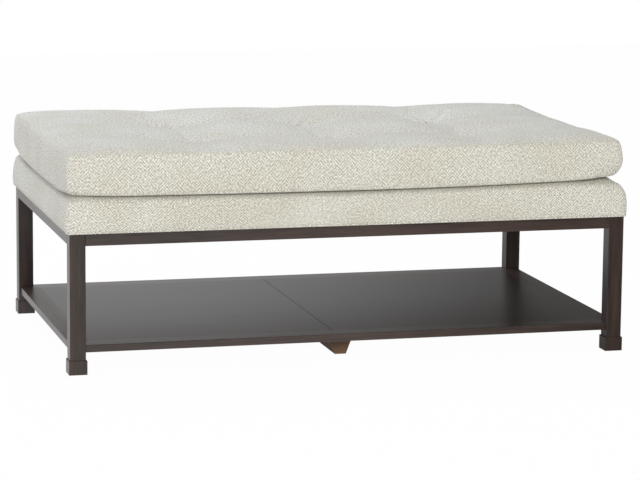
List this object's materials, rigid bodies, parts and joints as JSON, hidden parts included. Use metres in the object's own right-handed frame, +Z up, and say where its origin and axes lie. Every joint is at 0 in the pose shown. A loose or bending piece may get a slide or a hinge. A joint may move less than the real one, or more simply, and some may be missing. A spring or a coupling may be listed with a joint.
{
  "type": "ottoman coffee table",
  "caption": "Oblong upholstered ottoman coffee table: stained wood legs and low shelf, padded deck and a loose tufted cushion on top.",
  "frame": {"origin": "on the floor, under the middle of the table", "axes": "+X along the length, to the right as seen from the front; the front faces -Y; +Z up"},
  "size_m": [1.3858, 0.8268, 0.5372],
  "materials": {
    "stained_wood": "satin dark brown stain",
    "shelf_wood": "satin dark brown stain with a soft sheen",
    "inner_wood": "bare sawn wood",
    "plywood": "bare plywood",
    "cover_fabric": "ivory upholstery fabric with a woven herringbone",
    "padding": "cut foam",
    "dust_cloth": "matt black lining cloth",
    "twine": "waxed twine",
    "glide_nylon": "moulded nylon",
    "screw_steel": "zinc plated"
  },
  "bodies": {
    "table": {"leg_front_left": "stained_wood", "leg_front_right": "stained_wood", "leg_rear_left": "stained_wood", "leg_rear_right": "stained_wood", "foot_front_left": "stained_wood", "foot_front_right": "stained_wood", "foot_rear_left": "stained_wood", "foot_rear_right": "stained_wood", "foot_glides": "glide_nylon", "apron_front": "stained_wood", "apron_rear": "stained_wood", "apron_left": "stained_wood", "apron_right": "stained_wood", "apron_dowels": "inner_wood", "corner_blocks": "inner_wood", "corner_block_screws": "screw_steel", "deck_screws": "screw_steel", "shelf_leaf_left": "shelf_wood", "shelf_leaf_right": "shelf_wood", "shelf_spline": "inner_wood", "shelf_border_front": "shelf_wood", "shelf_border_rear": "shelf_wood", "shelf_border_left": "shelf_wood", "shelf_border_right": "shelf_wood", "shelf_dowels": "inner_wood", "shelf_bearer": "shelf_wood", "shelf_bearer_screws": "screw_steel", "deck_rail_front": "inner_wood", "deck_rail_rear": "inner_wood", "deck_rail_left": "inner_wood", "deck_rail_right": "inner_wood", "deck_cross_rails": "inner_wood", "deck_corner_blocks": "inner_wood", "deck_board": "plywood", "deck_dust_cover": "dust_cloth", "deck_cover": "cover_fabric", "deck_foam": "padding", "deck_welt": "cover_fabric"},
    "cushion": {"cushion_cover": "cover_fabric", "cushion_core": "padding", "cushion_top_buttons": "cover_fabric", "cushion_bottom_buttons": "cover_fabric", "cushion_ties": "twine"}
  },
  "joints": [
    {"name": "cushion_lift", "type": "slide", "parent": "table", "child": "cushion", "axis": [0, 0, 1], "range_m": [0, 0.15]}
  ]
}
